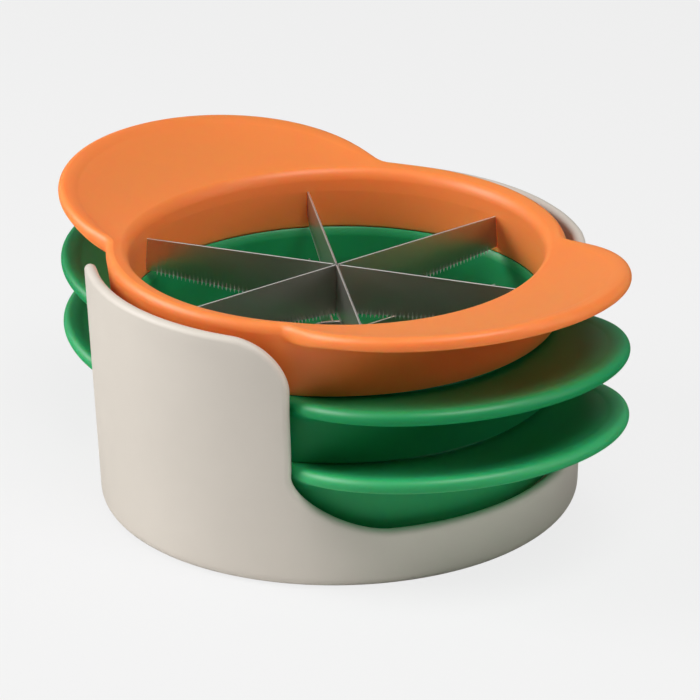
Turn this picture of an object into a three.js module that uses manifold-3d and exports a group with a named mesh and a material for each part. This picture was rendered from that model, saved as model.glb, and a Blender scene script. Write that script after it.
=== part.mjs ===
// A set of round fruit slicers that stand one on another in a low caddy.
// Millimetres, +Z up. The origin is the middle of the caddy's underside.
// The handles point along +X and -X, and the caddy's tall walls stand at +Y and -Y.

import * as THREE from 'three';
import Module from 'manifold-3d';
import { mergeVertices } from 'three/addons/utils/BufferGeometryUtils.js';

const wasm = await Module();
wasm.setup();

// Fits
const fitGap = 0.3;
const cutOverrun = 4;
const weldDistance = 1e-4;

// Stack: the lowest rolled edge's centre above the table, and the steps from one slicer up to the next
const lightRimHeight = 31.5;
const darkStep = 18.8;
const orangeStep = 20.3;
const stackClearance = 5;

// Slicer frame: mouth, and how far its other rings stand out from it
const mouthRadius = 55.9;
const crestReach = 1.9;
const rimReach = 4.2;
const skirtTaper = 1.8;
const edgeRoll = 1.9;

// Slicer frame: plan of the handles
const handleCentre = 47.2;
const handleHalfLength = 44.3;
const handleHalfWidth = 46.9;
const cornerBlend = 3;

// Slicer frame: rise of the handles and height of the mouth's crest
const riseStart = 40;
const riseBlend = 10;
const handleRise = 7.3;
const riseBendShare = 0.23;
const dishDepth = 0.7;
const crestHeightBeside = 2;
const crestHeightAtHandle = 0.8;
const lipRound = 1.6;

// Slicer frame: funnel wall
const wallFlare = 0.8;
const skirtRootDrop = 3.9;
const skirtRootRound = 1.2;
const undersideFade = 6;
const footRound = 0.4;
const footStepHeight = 1.8;
const footStepWidth = 1.4;
const lightSkirtDepth = 18.6;

// Blades, heights counted down from the rolled edge's centre
const bladeDrop = 5.3;
const bladeThickness = 0.5;
const bladeSeatDepth = 0.9;
const bladeFootMargin = 1.6;
const toothPitch = 1.2;
const toothHeight = 1;
const toothEndMargin = 2;

// Core rings of the green slicers
const coreOuterRadius = 9.5;
const coreWall = 0.8;
const coreSlotDepth = 6;
const coreFootMargin = 1.8;

// Caddy
const caddyWall = 3.2;
const caddyTopClearance = 2.8;
const caddyFootClearance = 0.2;
const wallTopDrop = 0.4;
const caddyFloor = 2.5;
const caddyFootRound = 3.4;
const caddyInnerRound = 3;
const handleRoom = 15.3;
const handleClearance = 0.6;
const cutoutCornerWidth = 21;
const cutoutCornerHeight = 15;
const wallCornerShare = 0.5;
const wallCornerHeight = 14;
const ribOverhang = 0.8;
const ribThickness = 2.4;

// Counts and facet counts
const bladeLineCount = 3;
const darkBladeCount = 6;
const lightBladeCount = 8;
const ribCount = 6;
const handleFacets = 5;
const cornerFacets = 6;
const besideFacets = 3;
const rollFacets = 5;
const lipFacets = 3;
const roundFacets = 64;
const coreFacets = 32;
const curveFacets = 3;

// Angles where the frame's facets change their spacing
const cornerStartAngle = THREE.MathUtils.degToRad(36);
const cornerEndAngle = THREE.MathUtils.degToRad(60);
const quarterTurn = Math.PI / 2;
const fullTurn = Math.PI * 2;

// Radii of the slicer frames' rings and of the handles' tips
const crestRadius = mouthRadius + crestReach;
const ringRadius = mouthRadius + rimReach;
const skirtTopRadius = ringRadius + edgeRoll;
const skirtFootRadius = skirtTopRadius - skirtTaper;
const wallFootRadius = mouthRadius + wallFlare;
const handleTipRadius = handleCentre + handleHalfLength;

// Depth of each frame's wall: its foot stands on the crest of the frame below
const darkRimHeight = lightRimHeight + darkStep;
const orangeRimHeight = darkRimHeight + orangeStep;
const darkSkirtDepth = darkStep - crestHeightBeside - fitGap;
const orangeSkirtDepth = orangeStep - crestHeightBeside - fitGap;

// Locating bead round the green slicers' mouths: it fits into the step in the foot of the slicer above
const beadOuterRadius = wallFootRadius + footStepWidth - fitGap;
const beadRound = (beadOuterRadius - mouthRadius) / 2;
const beadTopHeight = crestHeightBeside + footStepHeight;

// Heights of the blades: their ends stay above the wall's foot, and their middle above the next slicer's
const greenBladeEndHeight = darkSkirtDepth - footStepHeight - bladeDrop - bladeFootMargin;
const orangeBladeEndHeight = orangeSkirtDepth - footStepHeight - bladeDrop - bladeFootMargin;
const orangeBladeCentreHeight = orangeStep - stackClearance;
const coreHeight = darkStep - stackClearance;
const greenBladeCoreHeight = coreHeight - coreFootMargin;

// Caddy: it clears the rolled edges, and its cut-outs clear the handles
const caddyHeight = orangeRimHeight - wallTopDrop;
const caddyTopRadius = ringRadius + edgeRoll + caddyTopClearance + caddyWall;
const caddyFootRadius = ringRadius + edgeRoll + caddyFootClearance + caddyWall;
const cutoutFloor = lightRimHeight - handleRoom;
const cutoutHalfWidth = handleHalfWidth + edgeRoll + handleClearance;
const wallCornerWidth = wallCornerShare * (caddyTopRadius - cutoutHalfWidth);
const ribOuterRadius = caddyFootRadius - caddyWall / 2;
const ribLength = ribOuterRadius - mouthRadius + ribOverhang;

// Colours and finishes
function plastic(colour, roughness) {
  return new THREE.MeshStandardMaterial({ color: colour, roughness, metalness: 0 });
}

function steel() {
  return new THREE.MeshStandardMaterial({ color: 0xb9bab6, roughness: 0.28, metalness: 1 });
}

// Solids from closed geometries, and geometries from solids
function toSolid(geometry) {
  const bare = geometry.clone();
  bare.deleteAttribute('normal');
  bare.deleteAttribute('uv');
  const welded = mergeVertices(bare, weldDistance);
  const corners = welded.index.array;
  const kept = [];
  for (let i = 0; i < corners.length; i += 3) {
    const [a, b, c] = [corners[i], corners[i + 1], corners[i + 2]];
    if (a !== b && b !== c && c !== a) {
      kept.push(a, b, c);
    }
  }
  return new wasm.Manifold(new wasm.Mesh({
    numProp: 3,
    vertProperties: Float32Array.from(welded.attributes.position.array),
    triVerts: Uint32Array.from(kept),
  }));
}

function toGeometry(solid) {
  const mesh = solid.getMesh();
  const geometry = new THREE.BufferGeometry();
  geometry.setAttribute('position', new THREE.BufferAttribute(mesh.vertProperties, 3));
  geometry.setIndex(new THREE.BufferAttribute(mesh.triVerts, 1));
  geometry.computeVertexNormals();
  return geometry;
}

function mix(from, to, share) {
  return from + (to - from) * share;
}

// Joins two heights or radii with a small round fillet in place of the kink
function smoothMax(a, b, blend) {
  const overlap = Math.max(blend - Math.abs(a - b), 0);
  return Math.max(a, b) + overlap * overlap / (4 * blend);
}

// S-curve from 0 to 1
function smoothShare(value) {
  const share = THREE.MathUtils.clamp(value, 0, 1);
  return share * share * (3 - 2 * share);
}

// Distance from the axis to the far side of the handle's oval, or 0 where the ray misses it
function handleReach(angle) {
  const across = Math.abs(Math.cos(angle)) / handleHalfLength;
  const along = Math.sin(angle) / handleHalfWidth;
  const offset = handleCentre / handleHalfLength;
  const square = across * across + along * along;
  const inside = offset * offset * across * across - square * (offset * offset - 1);
  return inside > 0 ? (offset * across + Math.sqrt(inside)) / square : 0;
}

function edgeRadius(angle) {
  return smoothMax(ringRadius, handleReach(angle), cornerBlend);
}

// Height of the rolled edge over its height beside the handles: it climbs, then levels off a little
function edgeRise(radius, angle) {
  const beyond = radius * Math.abs(Math.cos(angle)) - riseStart;
  const share = smoothMax(beyond, 0, riseBlend) / (handleTipRadius - riseStart);
  return handleRise * share * (1 + riseBendShare - riseBendShare * share);
}

// Top of the mouth at one angle: a round lip, or on the slicers that carry another one a locating bead
function mouthTop(crest, hasBead) {
  const points = [[hasBead ? beadOuterRadius : crestRadius, crest]];
  const centre = hasBead ? beadOuterRadius - beadRound : crestRadius;
  const round = hasBead ? beadRound : lipRound;
  const top = hasBead ? beadTopHeight : crest;
  const start = hasBead ? 0 : quarterTurn;
  for (let i = hasBead ? 0 : 1; i <= lipFacets; i += 1) {
    const turn = mix(start, Math.PI, i / lipFacets);
    points.push([centre + round * Math.cos(turn), top - round + round * Math.sin(turn)]);
  }
  return points;
}

// Radius of the ring's outer face: it runs straight down from the rolled edge and narrows a little
function skirtRadius(height, skirtDepth) {
  return mix(skirtTopRadius, skirtFootRadius, -height / skirtDepth);
}

// Closed outline of the frame at one angle, anticlockwise: radius from the axis, height from the edge
function frameSection(angle, skirtDepth, hasBead) {
  const edge = edgeRadius(angle);
  const rise = edgeRise(edge, angle);
  const handleShare = (edge - ringRadius) / (handleTipRadius - ringRadius);
  const underside = smoothShare((edge - ringRadius) / undersideFade);
  const crest = mix(crestHeightBeside, crestHeightAtHandle, handleShare);
  const dish = dishDepth * handleShare;
  const points = [
    [wallFootRadius, footStepHeight - skirtDepth],
    [wallFootRadius + footStepWidth, footStepHeight - skirtDepth],
    [wallFootRadius + footStepWidth, -skirtDepth],
    [skirtFootRadius - footRound, -skirtDepth],
    [skirtRadius(footRound - skirtDepth, skirtDepth), footRound - skirtDepth],
    [skirtRadius(-skirtRootDrop, skirtDepth), -skirtRootDrop],
  ];
  const rootHeight = skirtRootRound - skirtRootDrop;
  const root = [skirtRadius(rootHeight, skirtDepth) + underside * skirtRootRound, rootHeight];
  const roll = [];
  for (let i = 0; i <= rollFacets; i += 1) {
    const turn = mix(-quarterTurn * underside, quarterTurn, i / rollFacets);
    roll.push([edge + edgeRoll * Math.cos(turn), rise + edgeRoll * Math.sin(turn)]);
  }
  points.push(root, [mix(root[0], roll[0][0], 1 / 2), mix(root[1], roll[0][1], 1 / 2) + dish], ...roll);
  points.push([mix(edge, crestRadius, 1 / 2), mix(rise + edgeRoll, crest, 1 / 2) - dish]);
  points.push(...mouthTop(crest, hasBead), [mouthRadius, -bladeDrop]);
  return points;
}

// Facet angles round the frame, closer together where the handle leaves the ring
function frameAngles() {
  const quarter = [];
  for (let i = 0; i < handleFacets; i += 1) {
    quarter.push(mix(0, cornerStartAngle, i / handleFacets));
  }
  for (let i = 0; i < cornerFacets; i += 1) {
    quarter.push(mix(cornerStartAngle, cornerEndAngle, i / cornerFacets));
  }
  for (let i = 0; i < besideFacets; i += 1) {
    quarter.push(mix(cornerEndAngle, quarterTurn, i / besideFacets));
  }
  const mirrored = quarter.slice(1).map((angle) => Math.PI - angle).reverse();
  const half = [...quarter, quarterTurn, ...mirrored];
  return [...half, ...half.map((angle) => angle + Math.PI)];
}

function frameShell(skirtDepth, hasBead) {
  const angles = frameAngles();
  const positions = [];
  for (const angle of angles) {
    for (const [radius, height] of frameSection(angle, skirtDepth, hasBead)) {
      positions.push(radius * Math.cos(angle), radius * Math.sin(angle), height);
    }
  }
  const count = positions.length / 3 / angles.length;
  const corners = [];
  for (let i = 0; i < angles.length; i += 1) {
    const here = i * count;
    const next = ((i + 1) % angles.length) * count;
    for (let j = 0; j < count; j += 1) {
      const after = (j + 1) % count;
      corners.push(here + j, next + j, next + after);
      corners.push(here + j, next + after, here + after);
    }
  }
  const geometry = new THREE.BufferGeometry();
  geometry.setAttribute('position', new THREE.Float32BufferAttribute(positions, 3));
  geometry.setIndex(corners);
  return geometry;
}

// Radius of the funnel's inner wall at a height below the rolled edge
function innerWallRadius(height, skirtDepth) {
  const wallHeight = skirtDepth - footStepHeight - bladeDrop;
  return mouthRadius - wallFlare * (height + bladeDrop) / wallHeight;
}

// Stands a flat outline of radius and height upright on the radial line at one angle
function uprightPlate(outline, thickness, angle) {
  const plate = new THREE.ExtrudeGeometry(outline, { depth: thickness, bevelEnabled: false });
  plate.translate(0, 0, -thickness / 2);
  plate.rotateX(quarterTurn);
  plate.rotateZ(angle);
  return plate;
}

function outlineOf(points) {
  return new THREE.Shape(points.map(([x, y]) => new THREE.Vector2(x, y)));
}

// Pocket in the funnel wall that takes the end of a blade
function bladePocket(endHeight, skirtDepth, angle) {
  const top = fitGap - bladeDrop;
  const foot = -bladeDrop - endHeight - fitGap;
  const reach = bladeSeatDepth + fitGap;
  const start = mouthRadius - cutOverrun;
  const outline = outlineOf([
    [start, foot],
    [innerWallRadius(foot, skirtDepth) + reach, foot],
    [innerWallRadius(top, skirtDepth) + reach, top],
    [start, top],
  ]);
  return uprightPlate(outline, bladeThickness + 2 * fitGap, angle);
}

function frameGeometry(skirtDepth, hasBead, endHeight, angles) {
  let solid = toSolid(frameShell(skirtDepth, hasBead));
  for (const angle of angles) {
    solid = solid.subtract(toSolid(bladePocket(endHeight, skirtDepth, angle)));
  }
  return toGeometry(solid);
}

// Lower edge of one half of a crossing blade, from the centre out, with its teeth
function toothedEdge(endRadius, startHeight, endHeight) {
  const length = endRadius - toothEndMargin;
  const count = Math.round(length / toothPitch);
  const points = [];
  for (let i = 0; i < count; i += 1) {
    const root = length * i / count;
    const tip = length * (i + 1 / 2) / count;
    points.push([root, mix(startHeight, endHeight, root / endRadius)]);
    points.push([tip, mix(startHeight, endHeight, tip / endRadius) - toothHeight]);
  }
  points.push([length, mix(startHeight, endHeight, length / endRadius)]);
  return points;
}

// Full-width blade with a V-shaped toothed lower edge
function crossingBladeOutline(skirtDepth) {
  const top = -bladeDrop;
  const endFoot = top - orangeBladeEndHeight;
  const centreFoot = top - orangeBladeCentreHeight + toothHeight;
  const topEnd = innerWallRadius(top, skirtDepth) + bladeSeatDepth;
  const footEnd = innerWallRadius(endFoot, skirtDepth) + bladeSeatDepth;
  const edge = toothedEdge(footEnd, centreFoot, endFoot);
  const right = [...edge, [footEnd, endFoot], [topEnd, top]];
  const left = right.slice(1).map(([x, y]) => [-x, y]).reverse();
  return outlineOf([...right, ...left]);
}

// The crossing blades share the middle: each keeps one band of the height and is notched beside it
function crossingBladeGeometry(index, skirtDepth) {
  const blade = toSolid(uprightPlate(crossingBladeOutline(skirtDepth), bladeThickness, 0));
  const band = orangeBladeCentreHeight / bladeLineCount;
  const bandTop = -bladeDrop - band * index;
  const crossing = Math.PI / bladeLineCount;
  const clear = bladeThickness / 2 + fitGap;
  const notchWidth = 2 * (clear + clear * Math.cos(crossing)) / Math.sin(crossing);
  const top = bandTop - fitGap / 2;
  const foot = bandTop - band + fitGap / 2;
  let solid = blade;
  if (index > 0) {
    const above = new THREE.BoxGeometry(notchWidth, cutOverrun, band * index + cutOverrun);
    above.translate(0, 0, top + (band * index + cutOverrun) / 2);
    solid = solid.subtract(toSolid(above));
  }
  const bandsBelow = bladeLineCount - 1 - index;
  if (bandsBelow > 0) {
    const below = new THREE.BoxGeometry(notchWidth, cutOverrun, band * bandsBelow + cutOverrun);
    below.translate(0, 0, foot - (band * bandsBelow + cutOverrun) / 2);
    solid = solid.subtract(toSolid(below));
  }
  return toGeometry(solid);
}

// Blade from the core ring to the funnel wall, with a tab that hooks into the ring's slot
function radialBladeGeometry(skirtDepth) {
  const top = -bladeDrop;
  const endFoot = top - greenBladeEndHeight;
  const coreFoot = top - greenBladeCoreHeight;
  const tabFoot = top - coreSlotDepth + fitGap;
  const tabReach = coreOuterRadius - coreWall;
  const shoulder = coreOuterRadius + fitGap;
  const outline = outlineOf([
    [tabReach, tabFoot],
    [shoulder, tabFoot],
    [shoulder, coreFoot],
    [innerWallRadius(endFoot, skirtDepth) + bladeSeatDepth, endFoot],
    [innerWallRadius(top, skirtDepth) + bladeSeatDepth, top],
    [tabReach, top],
  ]);
  return uprightPlate(outline, bladeThickness, 0);
}

function coreGeometry(angles) {
  const inner = coreOuterRadius - coreWall;
  const top = -bladeDrop;
  const profile = [
    [inner, top - coreHeight],
    [coreOuterRadius, top - coreHeight],
    [coreOuterRadius, top],
    [inner, top],
    [inner, top - coreHeight],
  ];
  const ring = new THREE.LatheGeometry(profile.map(([x, y]) => new THREE.Vector2(x, y)), coreFacets);
  ring.rotateX(quarterTurn);
  let solid = toSolid(ring);
  const slotHeight = coreSlotDepth + cutOverrun;
  for (const angle of angles) {
    const slot = new THREE.BoxGeometry(cutOverrun, bladeThickness + 2 * fitGap, slotHeight);
    slot.translate(coreOuterRadius - coreWall / 2, 0, top - coreSlotDepth + slotHeight / 2);
    slot.rotateZ(angle);
    solid = solid.subtract(toSolid(slot));
  }
  return toGeometry(solid);
}

// Caddy: a round cup that widens upwards
function cupProfile() {
  const innerFoot = caddyFootRadius - caddyWall;
  const lip = caddyWall / 2;
  const wallShape = [[0, 0]];
  for (let i = 0; i <= curveFacets; i += 1) {
    const turn = quarterTurn * (i / curveFacets - 1);
    const reach = caddyFootRadius - caddyFootRound + caddyFootRound * Math.cos(turn);
    wallShape.push([reach, caddyFootRound + caddyFootRound * Math.sin(turn)]);
  }
  for (let i = 0; i <= curveFacets; i += 1) {
    const turn = Math.PI * i / curveFacets;
    const reach = caddyTopRadius - lip + lip * Math.cos(turn);
    wallShape.push([reach, caddyHeight - lip + lip * Math.sin(turn)]);
  }
  for (let i = 0; i <= curveFacets; i += 1) {
    const turn = -quarterTurn * i / curveFacets;
    const reach = innerFoot - caddyInnerRound + caddyInnerRound * Math.cos(turn);
    wallShape.push([reach, caddyFloor + caddyInnerRound + caddyInnerRound * Math.sin(turn)]);
  }
  wallShape.push([0, caddyFloor], [0, 0]);
  return wallShape.map(([x, y]) => new THREE.Vector2(x, y));
}

// Opening for the handles, seen along X: low in the middle, with wide round corners
function cutoutGeometry() {
  const side = cutoutHalfWidth;
  const low = cutoutHalfWidth - cutoutCornerWidth;
  const lowCorner = cutoutFloor + cutoutCornerHeight;
  const highCorner = caddyHeight - wallCornerHeight;
  const high = cutoutHalfWidth + wallCornerWidth;
  const top = caddyHeight + cutOverrun;
  const outline = new THREE.Shape();
  outline.moveTo(-low, cutoutFloor);
  outline.lineTo(low, cutoutFloor);
  outline.absellipse(low, lowCorner, cutoutCornerWidth, cutoutCornerHeight, -quarterTurn, 0, false);
  outline.lineTo(side, highCorner);
  outline.absellipse(high, highCorner, wallCornerWidth, wallCornerHeight, Math.PI, quarterTurn, true);
  outline.lineTo(high, top);
  outline.lineTo(-high, top);
  outline.lineTo(-high, caddyHeight);
  outline.absellipse(-high, highCorner, wallCornerWidth, wallCornerHeight, quarterTurn, 0, true);
  outline.lineTo(-side, lowCorner);
  outline.absellipse(-low, lowCorner, cutoutCornerWidth, cutoutCornerHeight, Math.PI, -quarterTurn, false);
  const depth = 2 * (caddyTopRadius + cutOverrun);
  const options = { depth, bevelEnabled: false, curveSegments: curveFacets };
  const block = new THREE.ExtrudeGeometry(outline, options);
  block.translate(0, 0, -depth / 2);
  block.rotateX(quarterTurn);
  block.rotateZ(quarterTurn);
  return block;
}

// Ribs inside the caddy that carry the lowest slicer's foot
function ribGeometry(angle) {
  const height = lightRimHeight - lightSkirtDepth - fitGap;
  const rib = new THREE.BoxGeometry(ribLength, ribThickness, height - caddyFloor / 2);
  rib.translate(ribOuterRadius - ribLength / 2, 0, (height + caddyFloor / 2) / 2);
  rib.rotateZ(angle);
  return rib;
}

function caddyGeometry() {
  const cup = new THREE.LatheGeometry(cupProfile(), roundFacets);
  cup.rotateX(quarterTurn);
  let solid = toSolid(cup).subtract(toSolid(cutoutGeometry()));
  for (let i = 0; i < ribCount; i += 1) {
    solid = solid.add(toSolid(ribGeometry(fullTurn * (i + 1 / 2) / ribCount)));
  }
  return toGeometry(solid);
}

// Scene graph
function evenAngles(count) {
  return Array.from({ length: count }, (unused, i) => fullTurn * (i + 1 / 2) / count);
}

function addPiece(parent, name, geometry, material) {
  const mesh = new THREE.Mesh(geometry, material);
  mesh.name = name;
  parent.add(mesh);
  return mesh;
}

function crossingSlicer() {
  const slicer = new THREE.Group();
  slicer.position.z = orangeRimHeight;
  const ends = evenAngles(2 * bladeLineCount);
  const frame = frameGeometry(orangeSkirtDepth, false, orangeBladeEndHeight, ends);
  addPiece(slicer, 'orange_frame', frame, plastic(0xec8a4a, 0.5));
  for (let i = 0; i < bladeLineCount; i += 1) {
    const geometry = crossingBladeGeometry(i, orangeSkirtDepth);
    const blade = addPiece(slicer, `orange_blade_${i + 1}`, geometry, steel());
    blade.rotation.z = ends[i];
  }
  return slicer;
}

function coredSlicer(prefix, rimHeight, skirtDepth, bladeCount, material) {
  const slicer = new THREE.Group();
  slicer.position.z = rimHeight;
  const angles = evenAngles(bladeCount);
  const frame = frameGeometry(skirtDepth, true, greenBladeEndHeight, angles);
  addPiece(slicer, `${prefix}_frame`, frame, material);
  addPiece(slicer, `${prefix}_core_ring`, coreGeometry(angles), steel());
  angles.forEach((angle, i) => {
    const blade = addPiece(slicer, `${prefix}_blade_${i + 1}`, radialBladeGeometry(skirtDepth), steel());
    blade.rotation.z = angle;
  });
  return slicer;
}

const group = new THREE.Group();
addPiece(group, 'caddy', caddyGeometry(), plastic(0xe4ded4, 0.6));
const lightPlastic = plastic(0x3f9a62, 0.45);
const darkPlastic = plastic(0x0f7443, 0.45);
group.add(coredSlicer('light_green', lightRimHeight, lightSkirtDepth, lightBladeCount, lightPlastic));
group.add(coredSlicer('dark_green', darkRimHeight, darkSkirtDepth, darkBladeCount, darkPlastic));
group.add(crossingSlicer());

export default group;
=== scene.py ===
"""Looks of a set of round fruit slicers in their caddy, laid out as a Blender add-on.

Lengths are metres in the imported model's frame: +X along the handles, +Z up.
"""

import math

import bmesh
import bpy
import numpy as np
from mathutils import Matrix, Vector


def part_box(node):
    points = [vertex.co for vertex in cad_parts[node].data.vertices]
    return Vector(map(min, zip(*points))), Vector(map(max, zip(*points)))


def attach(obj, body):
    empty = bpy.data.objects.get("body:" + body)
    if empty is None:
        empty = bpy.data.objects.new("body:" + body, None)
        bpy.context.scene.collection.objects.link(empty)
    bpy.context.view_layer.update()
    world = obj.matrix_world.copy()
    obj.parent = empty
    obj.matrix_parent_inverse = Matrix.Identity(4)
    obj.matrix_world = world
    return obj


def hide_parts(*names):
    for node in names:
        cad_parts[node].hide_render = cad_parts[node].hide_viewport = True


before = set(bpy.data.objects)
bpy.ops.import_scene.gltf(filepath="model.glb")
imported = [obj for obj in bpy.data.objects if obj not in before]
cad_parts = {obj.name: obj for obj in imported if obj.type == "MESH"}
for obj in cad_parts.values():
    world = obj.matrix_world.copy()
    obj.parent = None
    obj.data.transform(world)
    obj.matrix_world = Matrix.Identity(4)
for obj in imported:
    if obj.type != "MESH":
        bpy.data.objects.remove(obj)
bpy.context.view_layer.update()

bl_info = {
    "name": "Fruit slicer set",
    "version": (1, 0, 0),
    "blender": (4, 5, 0),
    "location": "View3D > Sidebar > Slicers",
    "description": "Builds a stack of round fruit slicers in a low caddy, and its studio",
    "category": "Object",
}

MM = 0.001
MERGE_DISTANCE = 1e-7


# Properties

def number(name, description, value, **settings):
    """A number property."""
    return bpy.props.FloatProperty(name=name, description=description, default=value, **settings)


def length(name, description, millimetres):
    """A length property whose default is given in millimetres."""
    return number(name, description, millimetres * MM, unit="LENGTH", precision=5)


def degrees(name, description, value):
    """An angle property whose default is given in degrees."""
    return number(name, description, math.radians(value), subtype="ANGLE")


def colour(name, description, value):
    """A colour property, linear red, green and blue."""
    return bpy.props.FloatVectorProperty(
        name=name, description=description, default=value, subtype="COLOR", size=3, min=0, max=1)


def share(name, description, value):
    """A number from 0 to 1."""
    return number(name, description, value, min=0, max=1, subtype="FACTOR")


def count(name, description, value):
    """A whole number of facets or ribs."""
    return bpy.props.IntProperty(name=name, description=description, default=value, min=1)


class FrameSizes(bpy.types.PropertyGroup):
    """Sizes of the moulded slicer frames."""

    mouth_radius: length("Mouth radius", "Inner radius of the funnel wall", 55.9)
    wall_flare: length("Wall flare", "How much the wall widens towards its foot", 0.8)
    rim_reach: length("Rim reach", "From the wall out to the rolled edge's centre", 4.2)
    skirt_taper: length("Skirt taper", "How much the ring's outer face narrows towards its foot", 1.8)
    edge_roll: length("Edge roll", "Radius of the rolled edge", 1.9)
    crest_beside: length("Crest beside", "Crest over the rolled edge, beside the handles", 2.0)
    crest_at_handle: length("Crest at handle", "Crest over the rolled edge, at the handles", 0.8)
    lip_crest: length("Lip crest", "Crest of the top slicer's lip, beside the handles", 1.55)
    lip_sag: length("Lip sag", "How much deeper the top slicer's edge is beside the handles", 1.2)
    sag_fade: length("Sag fade", "Width of handle over which the deeper edge fades", 14.0)
    lip_width: length("Lip width", "Width of the round at the top slicer's lip", 2.6)
    lip_height: length("Lip height", "Height of the round at the top slicer's lip", 3.8)
    fit_gap: length("Fit gap", "Gap between a collar and the foot that it locates", 0.3)
    collar_height: length("Collar round", "Height of the round inside a locating collar", 2.3)
    collar_fillet: length("Collar fillet", "Fillet where a locating collar leaves the plate", 0.4)
    blade_drop: length("Blade drop", "From the rolled edge down to the blades' tops", 5.3)
    foot_step_height: length("Foot step height", "Height of the step inside the foot", 1.8)
    foot_step_width: length("Foot step width", "Width of the step inside the foot", 1.4)
    foot_round: length("Foot round", "Round at the foot's corners", 0.25)
    root_drop: length("Root drop", "Where the skirt starts to turn out, below the edge", 5.2)
    root_reach: length("Root reach", "How far out the root's round ends", 1.2)
    root_height: length("Root height", "Where the root's round ends, below the edge", 2.7)
    underside_fade: length("Underside fade", "Width of handle over which its underside grows", 6.0)
    dish: length("Dish", "Depth of the handles' dish", 0.7)
    bead_fade: length("Bead fade", "Width of plate over which the edge bead grows", 8.0)
    bead_land: length("Bead land", "Width of the slope inside the edge bead", 4.0)
    bead_turn: degrees("Bead turn", "How far the edge bead rolls over at its inner side", 8)
    handle_centre: length("Handle centre", "Centre of the handle's oval from the axis", 47.2)
    handle_half_width: length("Handle half width", "Half of the handle's oval, across", 46.9)
    corner_blend: length("Corner blend", "Round where the handle leaves the ring", 3.0)
    rise_start: length("Rise start", "Distance from the axis where the handles start to rise", 40.0)
    rise_blend: length("Rise blend", "Length of the bend where the handles start to rise", 10.0)
    handle_rise: length("Handle rise", "Rise of the rolled edge at the handles' tips", 7.3)
    bend_share: share("Bend share", "How much the handles level off towards their tips", 0.23)
    facets: count("Facets", "Facets round the frame", 320)


class BladeSizes(bpy.types.PropertyGroup):
    """Sizes of the blades and of the core rings."""

    thickness: length("Thickness", "Blade thickness", 0.5)
    edge_thickness: length("Edge thickness", "Thickness left at the ground edge", 0.06)
    corner: length("Corner", "Bevel along the top edge", 0.1)
    seat: length("Seat", "How far a blade reaches into the wall", 0.9)
    ground_height: length("Ground height", "Height of the ground band at the lower edge", 1.7)
    tooth_pitch: length("Tooth pitch", "Distance from tooth to tooth", 1.2)
    tooth_height: length("Tooth height", "Height of a tooth", 1.0)
    tooth_margin: length("Tooth margin", "Plain edge left beside the wall", 2.0)
    lap_width: length("Lap width", "Half width of the notches where blades cross", 0.5)
    core_wall: length("Core wall", "Wall of the core ring", 0.8)
    core_edge: length("Core edge", "Height of the core ring's ground lower edge", 1.6)
    slot_clearance: length("Slot clearance", "Gap beside a blade in the core ring's slot", 0.12)
    slot_depth: length("Slot depth", "Depth of the core ring's slots", 6.0)


class CaddySizes(bpy.types.PropertyGroup):
    """Sizes of the caddy."""

    wall: length("Wall", "Thickness of the caddy's wall", 3.2)
    floor: length("Floor", "Thickness of the caddy's floor", 2.5)
    flare: length("Flare", "How much wider the caddy is at its top than at its foot", 2.6)
    foot_round: length("Foot round", "Round at the caddy's foot", 3.4)
    inner_round: length("Inner round", "Round inside, at the floor", 3.0)
    cutout_floor: length("Cut-out floor", "Height of the cut-out's lower edge", 16.2)
    cutout_half_width: length("Cut-out half width", "Half width of the cut-out, low down", 49.1)
    cutout_flare: length("Cut-out flare", "How much the cut-out widens upwards", 0.6)
    low_corner_width: length("Low corner width", "Width of the cut-out's lower corners", 21.0)
    low_corner_height: length("Low corner height", "Height of the cut-out's lower corners", 15.0)
    top_corner_width: length("Top corner width", "Width of the wall's upper corners", 9.0)
    top_corner_height: length("Top corner height", "Height of the wall's upper corners", 14.0)
    corner_power: number("Corner power", "How flat the corners are: 1 is a plain ellipse", 1.18)
    rib_thickness: length("Rib thickness", "Thickness of the ribs under the lowest slicer", 2.4)
    rib_reach: length("Rib reach", "How far the ribs reach in under the slicer", 0.8)
    rib_count: count("Ribs", "Ribs inside the caddy", 6)


class Finishes(bpy.types.PropertyGroup):
    """Colours and finishes."""

    orange: colour("Orange", "Top slicer's plastic", (0.98, 0.25, 0.052))
    dark_green: colour("Dark green", "Middle slicer's plastic", (0.003, 0.28, 0.085))
    light_green: colour("Light green", "Lowest slicer's plastic", (0.02, 0.37, 0.125))
    cream: colour("Off-white", "Caddy's plastic", (0.65, 0.595, 0.525))
    steel: colour("Steel", "Blades", (0.6, 0.585, 0.55))
    # Ground steel: partly a real ground finish, partly a painted glint on the teeth and a painted highlight
    # along the blades' top edges, by its light colour.
    ground_steel_and_glint: colour("Ground steel", "Ground edges and teeth of the blades", (0.8, 0.8, 0.76))
    plastic_roughness: share("Plastic roughness", "Roughness of the slicers' plastic", 0.46)
    caddy_roughness: share("Caddy roughness", "Roughness of the caddy's plastic", 0.52)
    steel_roughness: share("Steel roughness", "Roughness of the blades", 0.32)
    ground_roughness: share("Ground roughness", "Roughness of the blades' ground edges", 0.36)


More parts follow.
